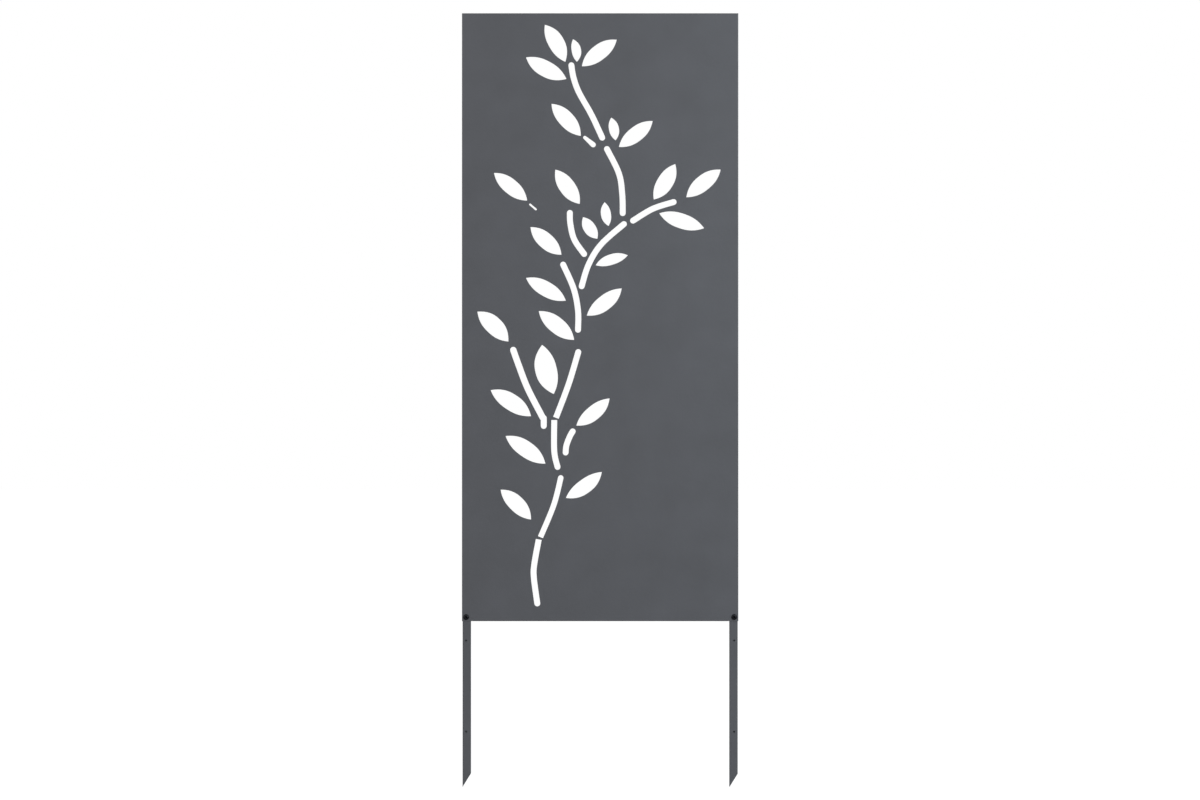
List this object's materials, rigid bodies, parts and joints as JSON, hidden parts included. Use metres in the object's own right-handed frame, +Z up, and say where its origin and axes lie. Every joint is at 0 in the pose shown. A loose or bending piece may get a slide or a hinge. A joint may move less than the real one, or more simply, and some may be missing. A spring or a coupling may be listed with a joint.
{
  "type": "laser cut metal screen",
  "caption": "Tall narrow garden screen: a folded steel panel cut with a climbing leafy branch, held up by pointed square stakes bolted into its side channels.",
  "frame": {"origin": "ground line: the middle of the panel's bottom edge, half way through the stakes' depth", "axes": "+Z up along the stakes, +X to the right seen from the front, -Y towards the viewer of the front face"},
  "size_m": [0.5, 0.0333, 1.4],
  "materials": {
    "powder_coat": "satin dark grey powder coat on steel",
    "black_steel": "black plated steel, semi-gloss",
    "nylon": "natural nylon"
  },
  "bodies": {
    "root": {"screen_panel": "powder_coat", "stake_left": "powder_coat", "stake_right": "powder_coat", "bolt_left": "black_steel", "bolt_right": "black_steel", "washer_left": "black_steel", "washer_right": "black_steel", "lock_nut_left": "black_steel", "lock_nut_right": "black_steel", "nylon_ring_left": "nylon", "nylon_ring_right": "nylon"}
  },
  "joints": []
}
